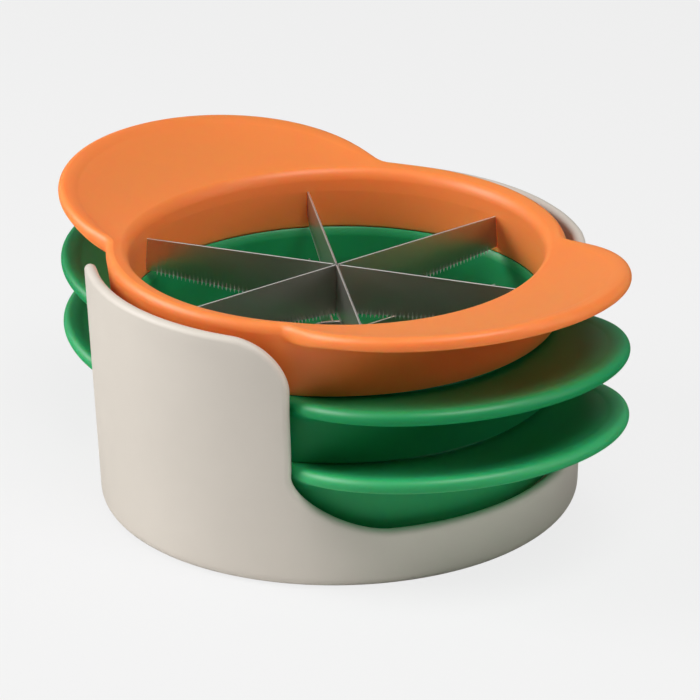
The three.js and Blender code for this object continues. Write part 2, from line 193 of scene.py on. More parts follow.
class StageSettings(bpy.types.PropertyGroup):
    """Camera, backdrop and lamps."""

    azimuth: degrees("Azimuth", "Camera angle round the object", 51.779)
    elevation: degrees("Elevation", "Camera angle above the table", 22.997)
    roll: degrees("Roll", "Camera tilt", -0.653)
    distance: length("Distance", "Camera distance", 1100.97)
    aim_right: length("Aim right", "Aim point, to the right of the origin", 3.303)
    aim_up: length("Aim up", "Aim point, above the origin", 36.902)
    lens: number("Lens", "Focal length on a 36 mm sensor", 205.24, unit="CAMERA")
    backdrop: colour("Backdrop", "Colour of the floor and backdrop", (0.893, 0.893, 0.893))
    sky: number("Sky", "Strength of the even light from all round", 0.02)
    key: number("Key", "Power of the lamp at the left", 8.8, unit="POWER")
    front: number("Front", "Power of the lamp over the camera", 7.1, unit="POWER")
    fill: number("Fill", "Power of the low lamp at the right", 1.7, unit="POWER")
    lamp_size: length("Lamp size", "Width of each lamp", 600)
    lamp_distance: length("Lamp distance", "How far the lamps are from the object", 1000)
    gloss_share: share("Gloss share", "How much of the backdrop shows in gloss", 0.3)
    shadow_share: share("Shadow share", "How much of the floor's own light and shadow shows", 0.1)


GROUPS = {
    "slicer_frame": FrameSizes,
    "slicer_blade": BladeSizes,
    "slicer_caddy": CaddySizes,
    "slicer_finish": Finishes,
    "slicer_stage": StageSettings,
}


# Meshes

def add_mesh(name, verts, faces, sharp_angle=None):
    """A smooth-shaded mesh object with its faces turned outwards."""
    mesh = bpy.data.meshes.new(name)
    mesh.from_pydata([tuple(v) for v in verts], [], faces)
    work = bmesh.new()
    work.from_mesh(mesh)
    bmesh.ops.remove_doubles(work, verts=work.verts, dist=MERGE_DISTANCE)
    bmesh.ops.dissolve_degenerate(work, edges=work.edges, dist=MERGE_DISTANCE)
    bmesh.ops.recalc_face_normals(work, faces=work.faces)
    work.to_mesh(mesh)
    work.free()
    mesh.polygons.foreach_set("use_smooth", [True] * len(mesh.polygons))
    if sharp_angle is not None:
        mesh.set_sharp_from_angle(angle=sharp_angle)
    obj = bpy.data.objects.new(name, mesh)
    bpy.context.scene.collection.objects.link(obj)
    return obj


def loft(rings, closed_round=False, closed_ring=True, capped=False):
    """Vertices and faces of a surface through rings with the same number of points."""
    rings = np.asarray(rings, float)
    n, m = rings.shape[:2]
    faces = []
    for i in range(n if closed_round else n - 1):
        here, there = i * m, (i + 1) % n * m
        for j in range(m if closed_ring else m - 1):
            after = (j + 1) % m
            faces.append((here + j, there + j, there + after, here + after))
    if capped:
        faces.append(tuple(range(m)))
        faces.append(tuple(reversed(range((n - 1) * m, n * m))))
    return rings.reshape(-1, 3).tolist(), faces


def join_parts(parts):
    """One list of vertices and faces from several."""
    verts, faces = [], []
    for part_verts, part_faces in parts:
        base = len(verts)
        verts.extend(part_verts)
        faces.extend(tuple(base + i for i in face) for face in part_faces)
    return verts, faces


def mix(start, end, part):
    """The value that lies a share of the way from start to end."""
    return start + (end - start) * part


def eased(steps):
    """Shares from 0 to 1, closer together at both ends."""
    return [(1 - math.cos(math.pi * i / steps)) / 2 for i in range(1, steps + 1)]


def add_line(points, end, steps):
    """Runs the outline straight on to a point."""
    start = np.array(points[-1])
    points.extend(tuple(mix(start, np.array(end), part)) for part in eased(steps))


def add_arc(points, centre, radii, start, stop, steps=3, power=1):
    """Runs the outline round part of an ellipse, with angles in degrees: a higher power cuts the corner."""
    for i in range(steps + 1):
        turn = math.radians(mix(start, stop, i / steps))
        across, up = (math.copysign(abs(part) ** power, part) for part in (math.cos(turn), math.sin(turn)))
        points.append((centre[0] + radii[0] * across, centre[1] + radii[1] * up))


def add_dish(points, end, depth, steps):
    """Runs the outline on to a point, bowed up by a depth half way."""
    start = np.array(points[-1])
    for part in eased(steps):
        across, up = mix(start, np.array(end), part)
        points.append((across, up + 4 * depth * part * (1 - part)))


def add_bend(points, middle, end, steps):
    """Runs the outline along a quadratic curve."""
    start = np.array(points[-1])
    for i in range(1, steps + 1):
        t = i / steps
        spot = (1 - t) ** 2 * start + 2 * t * (1 - t) * np.array(middle) + t * t * np.array(end)
        points.append(tuple(spot))


def smooth_max(a, b, blend):
    """The larger of two lengths, with a fillet where they cross."""
    overlap = max(blend - abs(a - b), 0)
    return max(a, b) + overlap * overlap / (4 * blend)


def smooth_step(value):
    """An S-curve from 0 to 1."""
    value = min(max(value, 0), 1)
    return value * value * (3 - 2 * value)


def finish_piece(obj, body, slot, materials, *nodes):
    """Gives a piece its body and materials, and hides the model nodes that it stands for; its slot is not
    used.
    """
    for material in materials:
        obj.data.materials.append(material)
    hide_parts(*nodes)
    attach(obj, body)


# Shader maths

class Socket:
    """A shader value that can be used in Python sums."""

    def __init__(self, graph, link):
        self.graph = graph
        self.link = link

    def maths(self, operation, first, second):
        return self.graph.node("ShaderNodeMath", {"operation": operation}, {0: first, 1: second})

    def __add__(self, other):
        return self.maths("ADD", self, other)

    __radd__ = __add__

    def __sub__(self, other):
        return self.maths("SUBTRACT", self, other)

    def __rsub__(self, other):
        return self.maths("SUBTRACT", other, self)

    def __mul__(self, other):
        return self.maths("MULTIPLY", self, other)

    __rmul__ = __mul__


class Graph:
    """The emptied node tree of a material or of the world."""

    def __init__(self, owner):
        self.tree = owner.node_tree
        self.tree.nodes.clear()

    def node(self, kind, settings, inputs, output=0):
        """Adds a node, sets it up, links its inputs and returns one of its outputs."""
        made = self.tree.nodes.new(kind)
        for name, value in settings.items():
            setattr(made, name, value)
        for name, value in inputs.items():
            if isinstance(value, Socket):
                self.tree.links.new(value.link, made.inputs[name])
            else:
                made.inputs[name].default_value = value
        return Socket(self, made.outputs[output]) if len(made.outputs) else None

    def noise(self, vector, kind):
        """Noise about 0.5, of one of the kinds below."""
        scale, detail = kind
        return self.node("ShaderNodeTexNoise", {}, {"Vector": vector, "Scale": scale, "Detail": detail})

    def tint(self, first, second, factor):
        """A colour between two colours."""
        inputs = {"Factor": factor, "A": (*first, 1), "B": (*second, 1)}
        return self.node("ShaderNodeMix", {"data_type": "RGBA"}, inputs, "Result")

    def mottled(self, base, spread, factor):
        """A colour that gets darker and lighter by a share."""
        return self.tint(scaled(base, 1 - spread), scaled(base, 1 + spread), factor)

    def bump(self, strength, distance, height):
        """A normal for fine relief."""
        inputs = {"Strength": strength, "Distance": distance, "Height": height}
        return self.node("ShaderNodeBump", {}, inputs)

    def surface(self, inputs):
        shader = self.node("ShaderNodeBsdfPrincipled", {}, inputs)
        self.node("ShaderNodeOutputMaterial", {}, {"Surface": shader})


def new_material(name):
    """A material that is drawn by its nodes."""
    material = bpy.data.materials.new(name)
    material.use_nodes = True
    return material


def light_ray(graph, kind):
    """1 for one kind of ray and 0 for the others."""
    return graph.node("ShaderNodeLightPath", {}, {}, f"Is {kind} Ray")


def scaled(colour_value, factor):
    """A colour made darker or lighter."""
    return tuple(min(channel * factor, 1) for channel in colour_value)


def place_of(graph):
    """Place on the object, in metres."""
    return graph.node("ShaderNodeTexCoord", {}, {}, "Object")


def blended(first, second, part):
    """Two shader values added up by their shares."""
    return first * part + second * (1 - part)


def swing(noise, amount):
    """Noise about 0, as wide as an amount."""
    return (noise - 0.5) * amount


# Noise kinds: scale, in waves per metre, and detail

FLOW = (28.0, 3.0)
CLOUD = (140.0, 4.0)
GRAIN = (2600.0, 2.0)
STAIN = (60.0, 3.0)
LINES = (1.0, 4.0)

# Plastic

PLASTIC_IOR = 1.46
PLASTIC_TONE = 0.05
FLOW_SHARE = 0.7
FLOW_ROUGHNESS = 0.1
CLOUD_ROUGHNESS = 0.06
GRAIN_SHARE = 0.6
GRAIN_STRENGTH = 0.25
GRAIN_DEPTH = 0.04 * MM
GLOW_SHARE = 0.7
GLOW_SPREAD = (1.0, 0.25, 0.08)
GLOW_DEPTH = 8 * MM
CADDY_SHEEN = 0.6
CADDY_GRAIN_STRENGTH = 0.35

# Steel: the lines' scales are radial and upright

STEEL_TONE = 0.03
STEEL_ROUGHNESS_SWING = 0.04
LINE_SHARE = 0.6
LINE_DRIFT = 9.0
LINE_STRENGTH = 0.03
LINE_DEPTH = 0.03 * MM
ROLLED_LINES = (90.0, 9000.0)
GROUND_LINES = (2400.0, 60.0)
# The ground steel is half metallic, so that its light colour shows as a painted glint.
GROUND_AND_GLINT_METALLIC = 0.5


def moulded_plastic(name, base, roughness, sheen, strength=GRAIN_STRENGTH, glow=GLOW_SHARE):
    """Satin moulded plastic: fine spark grain, soft flow mottling and a little light inside."""
    material = new_material(name)
    graph = Graph(material)
    place = place_of(graph)
    flow, cloud, grain = (graph.noise(place, kind) for kind in (FLOW, CLOUD, GRAIN))
    graph.surface({
        "Base Color": graph.mottled(base, PLASTIC_TONE, blended(flow, cloud, FLOW_SHARE)),
        "Roughness": swing(flow, FLOW_ROUGHNESS) + swing(cloud, CLOUD_ROUGHNESS) + roughness,
        "Normal": graph.bump(strength, GRAIN_DEPTH, blended(grain, cloud, GRAIN_SHARE)),
        "IOR": PLASTIC_IOR, "Specular IOR Level": sheen, "Subsurface Weight": glow,
        "Subsurface Radius": GLOW_SPREAD, "Subsurface Scale": GLOW_DEPTH})
    return material


def brushed_steel(name, base, roughness, scales, metallic=1.0):
    """Stainless steel with fine lines, radial and upright."""
    material = new_material(name)
    graph = Graph(material)
    place = place_of(graph)
    flat = graph.node("ShaderNodeVectorMath", {"operation": "MULTIPLY"}, {0: place, 1: (1, 1, 0)})
    radius = graph.node("ShaderNodeVectorMath", {"operation": "LENGTH"}, {0: flat}, "Value")
    height = graph.node("ShaderNodeSeparateXYZ", {}, {0: place}, "Z")
    inputs = {"X": radius * scales[0], "Y": height * scales[1], "Z": radius * LINE_DRIFT}
    lines = graph.noise(graph.node("ShaderNodeCombineXYZ", {}, inputs), LINES)
    stain = graph.noise(place, STAIN)
    rough = swing(lines, STEEL_ROUGHNESS_SWING) + swing(stain, STEEL_ROUGHNESS_SWING) + roughness
    graph.surface({
        "Base Color": graph.mottled(base, STEEL_TONE, blended(lines, stain, LINE_SHARE)),
        "Roughness": rough, "Metallic": metallic,
        "Normal": graph.bump(LINE_STRENGTH, LINE_DEPTH, lines)})
    return material


# Slicer frames: steps along each part of the outline, and shares

FOOT_STEPS = 4
SKIRT_STEPS = 8
ROOT_STEPS = 7
UNDERSIDE_STEPS = 14
ROLL_STEPS = 18
LAND_STEPS = 8
PLATE_STEPS = 16
COLLAR_STEPS = 7
COLLAR_INSIDE_STEPS = 10
LIP_STEPS = 14
THROAT_STEPS = 6
WALL_STEPS = 8
ROOT_SHARE = 0.3
LAND_SHARE = 0.2
LAND_LIMIT = 1 / 3
MOUTH_END = 174
COLLAR_POWER = 1.5


class FrameShape:
    """One slicer frame: its rim height and wall depth come from its model node."""

    def __init__(self, sizes, node, collar):
        low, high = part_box(node)
        self.sizes = sizes
        self.collar = collar
        self.rim = high.z - sizes.handle_rise - sizes.edge_roll
        self.depth = self.rim - low.z
        self.ring = sizes.mouth_radius + sizes.rim_reach
        self.foot_radius = sizes.mouth_radius + sizes.wall_flare
        self.land_radius = self.foot_radius + sizes.foot_step_width
        self.collar_radius = self.land_radius - sizes.fit_gap
        self.crest_radius = sizes.mouth_radius + sizes.lip_width
        if collar:
            self.crest_radius = self.collar_radius + sizes.collar_fillet
        self.tip = high.x - sizes.edge_roll
        self.half_length = self.tip - sizes.handle_centre

    def handle_reach(self, angle):
        """Distance from the axis to the far side of the handle's oval, or 0 past it."""
        across = abs(math.cos(angle)) / self.half_length
        along = math.sin(angle) / self.sizes.handle_half_width
        offset = self.sizes.handle_centre / self.half_length
        square = across * across + along * along
        inside = offset * offset * across * across - square * (offset * offset - 1)
        return (offset * across + math.sqrt(inside)) / square if inside > 0 else 0

    def edge_rise(self, radius, angle):
        """Height of the rolled edge over its height beside the handles."""
        s = self.sizes
        beyond = radius * abs(math.cos(angle)) - s.rise_start
        part = smooth_max(beyond, 0, s.rise_blend) / (self.tip - s.rise_start)
        return s.handle_rise * part * (1 + s.bend_share - s.bend_share * part)

    def wall_radius(self, height):
        """Inner radius of the wall at a height below the rolled edge."""
        s = self.sizes
        wall_height = self.depth - s.foot_step_height - s.blade_drop
        return s.mouth_radius - s.wall_flare * (height + s.blade_drop) / wall_height

    def skirt_radius(self, height):
        """Radius of the ring's outer face at a height below the rolled edge."""
        s = self.sizes
        return self.ring + s.edge_roll + s.skirt_taper * height / self.depth

    def outline(self, angle):
        """Closed outline at one angle: radius from the axis, height from the rolled edge."""
        s = self.sizes
        edge = smooth_max(self.ring, self.handle_reach(angle), s.corner_blend)
        reach = edge - self.ring
        part = reach / (self.tip - self.ring)
        crest = mix(s.crest_beside if self.collar else s.lip_crest, s.crest_at_handle, part)
        sag = 0 if self.collar else s.lip_sag * (1 - smooth_step(reach / s.sag_fade))
        centre = np.array([edge, self.edge_rise(edge, angle) - sag / 2])
        radii = np.array([s.edge_roll, s.edge_roll + sag / 2])
        points = []
        self.add_foot(points)
        hollow = smooth_step(reach / s.underside_fade)
        start = self.add_underside(points, centre, radii, s.dish * part, hollow)
        bead = smooth_step(reach / s.bead_fade)
        self.add_top(points, centre, radii, start, crest, s.dish * part, bead)
        self.add_mouth(points, crest)
        return points

    def add_foot(self, points):
        """Step inside the foot, the land that it stands on, and the skirt's outer face."""
        s = self.sizes
        e = s.foot_round
        outer = self.skirt_radius(-self.depth)
        step = s.foot_step_height - self.depth
        add_arc(points, (self.foot_radius + e, step + e), (e, e), 180, 270)
        add_arc(points, (self.land_radius - e, step - e), (e, e), 90, 0)
        add_arc(points, (self.land_radius + e / 2, e / 2 - self.depth), (e / 2, e / 2), 180, 270)
        add_arc(points, (outer - e, e - self.depth), (e, e), 270, 360, FOOT_STEPS)
        add_line(points, (self.skirt_radius(-s.root_drop), -s.root_drop), SKIRT_STEPS)

    def add_underside(self, points, centre, radii, dish, hollow):
        """Round at the handle's root, and the dished underside: returns where the rolled edge starts."""
        s = self.sizes
        root = np.array([self.skirt_radius(-s.root_height) + s.root_reach * hollow, -s.root_height])
        to_root = (root - centre) * (1, radii[0] / radii[1])
        turn = math.atan2(to_root[1], to_root[0]) + math.acos(radii[0] / np.hypot(*to_root))
        touch = centre + radii * (math.cos(turn), math.sin(turn))
        slope = (touch[1] - root[1]) / (touch[0] - root[0])
        bend = max(root[1] - slope * s.root_reach * hollow, mix(-s.root_drop, root[1], ROOT_SHARE))
        add_bend(points, (self.skirt_radius(bend), bend), root, ROOT_STEPS)
        add_dish(points, touch, dish, UNDERSIDE_STEPS)
        return math.degrees(turn)

    def add_top(self, points, centre, radii, start, crest, dish, bead):
        """Rolled edge with its bead, and the dished plate in to the mouth's crest."""
        s = self.sizes
        turn = s.bead_turn * bead
        add_arc(points, centre, radii, start, 90 + math.degrees(turn), ROLL_STEPS)
        last = np.array(points[-1])
        goal = np.array([self.crest_radius, crest])
        width = last[0] - goal[0]
        land = min(s.bead_land * mix(LAND_SHARE, 1, bead), width * LAND_LIMIT)
        drop = np.array([0, -math.tan(turn) * land / 2])
        middle = last + (-land / 2, 0) + drop
        add_bend(points, middle, last + (goal - last) / width * land + drop, LAND_STEPS)
        add_dish(points, goal, -dish, PLATE_STEPS)

    def add_mouth(self, points, crest):
        """Round lip, or the collar that locates the slicer above, and the funnel wall down to the foot."""
        s = self.sizes
        points.pop()
        if self.collar:
            fillet = s.collar_fillet
            half = (self.collar_radius - s.mouth_radius) / 2
            middle = s.mouth_radius + half
            top = s.crest_beside + s.foot_step_height
            add_arc(points, (self.crest_radius, crest + fillet), (fillet, fillet), 270, 180)
            add_arc(points, (middle, top - half), (half, half), 0, 90, COLLAR_STEPS)
            points.pop()
            add_arc(points, (middle, top - s.collar_height), (half, s.collar_height),
                    90, MOUTH_END, COLLAR_INSIDE_STEPS, COLLAR_POWER)
        else:
            add_arc(points, (self.crest_radius, crest - s.lip_height),
                    (s.lip_width, s.lip_height), 90, MOUTH_END, LIP_STEPS)
        add_line(points, (s.mouth_radius, -s.blade_drop), THROAT_STEPS)
        foot = (self.foot_radius, s.foot_step_height - self.depth + 2 * s.foot_round)
        add_line(points, foot, WALL_STEPS)

    def mesh(self, name):
        """The frame's mesh, swept round the axis."""
        s = self.sizes
        rings = []
        for i in range(s.facets):
            angle = 2 * math.pi * i / s.facets
            rings.append([
                (r * math.cos(angle), r * math.sin(angle), self.rim + z)
                for r, z in self.outline(angle)
            ])
        return add_mesh(name, *loft(rings, closed_round=True))


# Blades: a profile gives places along one tooth's pitch, and the share of a tooth's height there

TOOTHED = ((0, 0), (0.3, 0), (0.5, 1), (0.7, 0))
PLAIN = ((0, 0),)
BELLY = (0.15, 0.95)
BLADE_CREASE = math.radians(24)
CORE_CREASE = math.radians(32)
CORE_STEPS = 12
# How far up the lighter steel reaches: a real ground band, also a painted glint.
TOOTH_GROUND_AND_GLINT = 0.125
WEDGE_GROUND_AND_GLINT = 0.8


def blade_section(sizes, foot, top, ridge):
    """Blade section from its ground foot to its top edge: ridge is 1 on a tooth and 0 between two."""
    half = sizes.thickness / 2
    thin = sizes.edge_thickness / 2
    ground = foot + sizes.ground_height
    belly = mix(thin, half, mix(*BELLY, ridge))
    right = [
        (thin, foot),
        (belly, foot + sizes.ground_height / 2),
        (half, ground),
        (half, mix(ground, top, 0.5)),
        (half, top - sizes.corner),
        (half - sizes.corner, top),
    ]
    return right + [(-y, z) for y, z in reversed(right)]


def blade_half(sizes, start, end, foot_at, top, profile):
    """Loft of one half of a blade along X, from start to end."""
    toothed_end = end - sizes.seat - sizes.tooth_margin
    teeth = round((toothed_end - start) / sizes.tooth_pitch)
    places = []
    for i in range(teeth):
        for part, tooth in profile:
            x = mix(start, toothed_end, (i + part) / teeth)
            places.append((x, foot_at(x) - sizes.tooth_height * tooth, tooth))
    places += [(x, foot_at(x), 0) for x in (toothed_end, end)]
    rings = [
        [(x, y, z) for y, z in blade_section(sizes, foot, top, tooth)]
        for x, foot, tooth in places
    ]
    return loft(rings, capped=True)


def mark_ground_and_glint(obj, sizes, foot_at, top, reach):
    """Gives the lower edge, up to a reach over its foot, and the top edge the lighter ground steel: on the
    lower edge a real ground finish and a painted glint, on the top edge a painted highlight.
    """
    for face in obj.data.polygons:
        # The lower band gets the lighter steel: a real ground finish and a painted glint.
        ground = foot_at(abs(face.center.x)) + reach
        # The top edge's bevel gets the lighter steel: a painted highlight.
        top_glint = top - sizes.corner < face.center.z < top - sizes.corner / 4
        face.material_index = int(face.center.z < ground or top_glint)
    return obj


def box_part(low, high):
    """A closed box as vertices and faces."""
    ring = [(low[1], low[2]), (high[1], low[2]), (high[1], high[2]), (low[1], high[2])]
    return loft([[(x, y, z) for y, z in ring] for x in (low[0], high[0])], capped=True)


def turn_and_lift(obj, angle, height):
    """Turns a mesh about the axis and lifts it."""
    obj.data.transform(Matrix.Translation((0, 0, height)) @ Matrix.Rotation(angle, 4, "Z"))


def even_angles(number):
    """Blade angles: the first blade stands half a spacing off the handles."""
    return [2 * math.pi * (i + 0.5) / number for i in range(number)]


class BladeShape:
    """Heights from the rolled edge and radii of one blade, from its model node."""

    def __init__(self, sizes, shape, node):
        corners = [
            (math.hypot(v.co.x, v.co.y), v.co.z - shape.rim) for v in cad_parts[node].data.vertices
        ]
        low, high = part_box(node)
        reach = max(r for r, z in corners)
        self.start = min(r for r, z in corners)
        self.top = high.z - shape.rim
        self.deep = low.z - shape.rim
        self.shallow = min(z for r, z in corners if r > reach - MM)
        self.end = shape.wall_radius(self.top) + sizes.seat


def crossing_blade(sizes, shape, name, node, index, number):
    """A full-width toothed blade with a V-shaped lower edge, notched to cross its neighbours."""
    blade = BladeShape(sizes, shape, node)
    top, deep = blade.top, blade.deep
    root = deep + sizes.tooth_height
    blunt = sizes.lap_width

    def foot_at(x):
        return mix(root, blade.shallow, x / blade.end)

    verts, faces = blade_half(sizes, blunt, blade.end, foot_at, top, TOOTHED)
    mirrored = [(-x, y, z) for x, y, z in verts]
    band = (top - deep) / number
    band_top = top - band * index - (0 if index == 0 else sizes.slot_clearance)
    band_foot = top - band * (index + 1) + sizes.slot_clearance
    inside = sizes.thickness / 2 - sizes.edge_thickness / 3
    bridge = box_part((-2 * blunt, -inside, band_foot), (2 * blunt, inside, band_top))
    parts = join_parts([(verts, faces), (mirrored, faces), bridge])
    piece = add_mesh(name, *parts, sharp_angle=BLADE_CREASE)
    return mark_ground_and_glint(piece, sizes, foot_at, top, sizes.tooth_height * TOOTH_GROUND_AND_GLINT)


def radial_blade(sizes, shape, name, node):
    """A blade from the core ring to the wall, with a tab that hooks into the ring."""
    blade = BladeShape(sizes, shape, node)
    top, end = blade.top, blade.end
    shoulder = blade.start + sizes.core_wall

    def foot_at(x):
        return mix(blade.deep, blade.shallow, (x - shoulder) / (end - shoulder))

    half = sizes.thickness / 2 - sizes.edge_thickness / 3
    tab = box_part((blade.start, -half, top - sizes.slot_depth + 2 * sizes.slot_clearance),
                   (shoulder + sizes.core_wall, half, top - sizes.corner / 2))
    wedge = blade_half(sizes, shoulder + sizes.slot_clearance, end, foot_at, top, PLAIN)
    piece = add_mesh(name, *join_parts([wedge, tab]), sharp_angle=BLADE_CREASE)
    return mark_ground_and_glint(piece, sizes, foot_at, top, sizes.ground_height * WEDGE_GROUND_AND_GLINT)


def core_ring(sizes, name, node, angles):
    """Core ring: a short steel tube with a slot for each blade and a ground lower edge."""
    low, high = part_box(node)
    outer = high.x
    inner = outer - sizes.core_wall
    half_slot = (sizes.thickness / 2 + sizes.slot_clearance) / outer
    marks = []
    spacing = 2 * math.pi / len(angles)
    for angle in angles:
        marks.append((angle + half_slot, False))
        for i in range(CORE_STEPS + 1):
            part = i / CORE_STEPS
            marks.append((mix(angle + half_slot, angle + spacing - half_slot, part), True))
        marks.append((angle + spacing - half_slot, False))
    c = sizes.corner
    rings = []
    for angle, full in marks:
        top = high.z if full else high.z - sizes.slot_depth
        outline = [
            (inner + c, low.z), (inner + 2 * c, low.z), (outer, low.z + sizes.core_edge),
            (outer, top - c), (outer - c, top), (inner + c, top), (inner, top - c), (inner, low.z + c),
        ]
        rings.append([(r * math.cos(angle), r * math.sin(angle), z) for r, z in outline])
    return add_mesh(name, *loft(rings, closed_round=True), sharp_angle=CORE_CREASE)


# Caddy: steps along its edge and its columns

CUTOUT_STEPS = 10
CORNER_STEPS = 24
SIDE_STEPS = 14
TOP_STEPS = 12
FLOOR_SHARES = (0, 0.3, 0.6, 0.9)
ROUND_STEPS = 8
COLUMN_STEPS = 28
EDGE_STEPS = 12
RIB_STEPS = 2
FAN = math.radians(8)
FAN_FADE = math.radians(27)


class CaddyShape:
    """The caddy: a flared cup whose top edge runs down into two cut-outs, with one round lip."""

    def __init__(self, sizes):
        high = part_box("caddy")[1]
        self.sizes = sizes
        self.height = high.z
        self.top_radius = high.y
        self.foot_radius = high.y - sizes.flare
        self.lip = sizes.wall / 2

    def middle_radius(self, z):
        """Radius of the wall's middle surface at a height."""
        return mix(self.foot_radius, self.top_radius, z / self.height) - self.lip

    def quarter_edge(self):
        """Top edge from the middle of a cut-out to near the middle of a wall: angle and height."""
        s = self.sizes
        side = s.cutout_half_width
        wide = side + s.cutout_flare
        low = side - s.low_corner_width
        points = [(low * i / CUTOUT_STEPS, s.cutout_floor) for i in range(CUTOUT_STEPS)]
        low_corner = s.cutout_floor + s.low_corner_height
        add_arc(points, (low, low_corner),
                (s.low_corner_width, s.low_corner_height), -90, 0, CORNER_STEPS, s.corner_power)
        high_corner = self.height - s.top_corner_height
        for i in range(1, SIDE_STEPS):
            part = i / SIDE_STEPS
            points.append((mix(side, wide, smooth_step(part)), mix(low_corner, high_corner, part)))
        add_arc(points, (wide + s.top_corner_width, high_corner),
                (s.top_corner_width, s.top_corner_height), 180, 90, CORNER_STEPS, s.corner_power)
        edge = [(math.asin(y / self.middle_radius(z)), z) for y, z in points]
        last = edge[-1][0]
        edge += [(mix(last, math.pi / 2, i / TOP_STEPS), self.height) for i in range(1, TOP_STEPS)]
        return edge

    def edge_curve(self):
        """The whole top edge, as angles and heights, all the way round."""
        quarter = self.quarter_edge()
        wall_middle = (math.pi / 2, self.height)
        mirrored = [(math.pi - angle, z) for angle, z in reversed(quarter[1:])]
        half = quarter + [wall_middle] + mirrored
        return np.array(half + [(angle + math.pi, z) for angle, z in half])

    def spread(self, edge):
        """Angles at the floor: columns under an upright edge fan out into the wall."""
        folded = np.abs(np.mod(edge[:, 0] + math.pi / 2, math.pi) - math.pi / 2)
        side = np.sign(np.sin(2 * edge[:, 0]))
        floor = self.sizes.cutout_floor
        up = np.clip((edge[:, 1] - floor) / (self.height - floor), 0, 1)
        fade = np.clip((math.pi / 2 - folded) / FAN_FADE, 0, 1)
        return edge[:, 0] + side * FAN * up * fade

    def mesh(self, name):
        """The caddy's mesh with its ribs."""
        s = self.sizes
        edge = self.edge_curve()
        feet = self.spread(edge)
        radius = np.array([self.middle_radius(z) for z in edge[:, 1]])
        flat = np.stack([np.unwrap(edge[:, 0]) * radius, edge[:, 1]], 1)
        ahead = np.roll(flat, -1, 0)
        behind = np.roll(flat, 1, 0)
        ahead[-1, 0] += 2 * math.pi * radius[-1]
        behind[0, 0] -= 2 * math.pi * radius[0]
        along = ahead - behind
        along /= np.linalg.norm(along, axis=1)[:, None]
        out = np.stack([-along[:, 1], along[:, 0]], 1)
        rings = [
            self.column(edge[i], feet[i], out[i], radius[i]) for i in range(len(edge))
        ]
        parts = [loft(rings, closed_round=True, closed_ring=False)]
        parts += [self.rib(2 * math.pi * (i + 0.5) / s.rib_count) for i in range(s.rib_count)]
        return add_mesh(name, *join_parts(parts))

    def column(self, edge, foot_angle, out, radius):
        """One column, from the middle of the underside over the lip to the middle of the floor."""
        s = self.sizes
        centre = np.array([edge[0] - out[0] * self.lip / radius, edge[1] - out[1] * self.lip])
        points = []

        def add(angle, r, z):
            points.append((r * math.cos(angle), r * math.sin(angle), z))

        def wall(part, side, foot_height):
            angle = mix(foot_angle, centre[0], part)
            z = mix(foot_height, centre[1], part)
            add(angle, self.middle_radius(z) + side * self.lip, z)

        def corner(r, z, size, start, stop):
            for i in range(ROUND_STEPS + 1):
                turn = math.radians(mix(start, stop, i / ROUND_STEPS))
                add(foot_angle, r - size * (1 - math.cos(turn)), z + size * math.sin(turn))

        for part in FLOOR_SHARES:
            add(foot_angle, (self.foot_radius - s.foot_round) * part, 0)
        corner(self.middle_radius(s.foot_round) + self.lip, s.foot_round, s.foot_round, -90, 0)
        for i in range(1, COLUMN_STEPS + 1):
            wall(i / COLUMN_STEPS, 1, s.foot_round)
        for i in range(1, EDGE_STEPS):
            turn = math.pi * i / EDGE_STEPS
            z = centre[1] + out[1] * self.lip * math.sin(turn)
            angle = centre[0] + out[0] * self.lip * math.sin(turn) / radius
            add(angle, self.middle_radius(z) + self.lip * math.cos(turn), z)
        inner_foot = s.floor + s.inner_round
        for i in range(COLUMN_STEPS, 0, -1):
            wall(i / COLUMN_STEPS, -1, inner_foot)
        inner = self.middle_radius(inner_foot) - self.lip
        corner(inner, inner_foot, s.inner_round, 0, -90)
        for part in reversed(FLOOR_SHARES):
            add(foot_angle, (inner - s.inner_round) * part, s.floor)
        return points

    def rib(self, angle):
        """A rib with a round top that carries the lowest slicer."""
        s = self.sizes
        sizes = bpy.context.scene.slicer_frame
        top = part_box("light_green_frame")[0].z
        half = s.rib_thickness / 2
        outline = [(-half, s.floor / 2)]
        soft = half / 3
        add_line(outline, (-half, top - soft), RIB_STEPS)
        add_arc(outline, (soft - half, top - soft), (soft, soft), 180, 90)
        add_arc(outline, (half - soft, top - soft), (soft, soft), 90, 0)
        add_line(outline, (half, s.floor / 2), RIB_STEPS)
        start = sizes.mouth_radius - s.rib_reach
        turn = Matrix.Rotation(angle, 3, "Z")
        rings = [
            [tuple(turn @ Vector((x, y, z))) for y, z in outline]
            for x in (start, self.foot_radius - self.lip)
        ]
        return loft(rings, capped=True)


# Operators

SLICERS = {
    "orange": {"body": "orange_slicer", "blades": 3, "collar": False, "sheen": 0.55},
    "dark_green": {"body": "dark_green_slicer", "blades": 6, "collar": True, "sheen": 0.6},
    "light_green": {"body": "light_green_slicer", "blades": 8, "collar": True, "sheen": 0.65},
}


def frame_shape(prefix):
    """The shape of one slicer's frame."""
    sizes = bpy.context.scene.slicer_frame
    return FrameShape(sizes, f"{prefix}_frame", SLICERS[prefix]["collar"])


def steel_finishes():
    """The blades' sheet steel and the lighter steel of their ground edges and top edges, made once: a real
    ground finish whose light colour is also a painted glint and a painted highlight.
    """
    finish = bpy.context.scene.slicer_finish
    sheet, ground = "rolled_stainless", "ground_stainless"
    if sheet not in bpy.data.materials:
        brushed_steel(sheet, finish.steel, finish.steel_roughness, ROLLED_LINES)
        brushed_steel(
            ground, finish.ground_steel_and_glint, finish.ground_roughness, GROUND_LINES, GROUND_AND_GLINT_METALLIC)
    return [bpy.data.materials[sheet], bpy.data.materials[ground]]


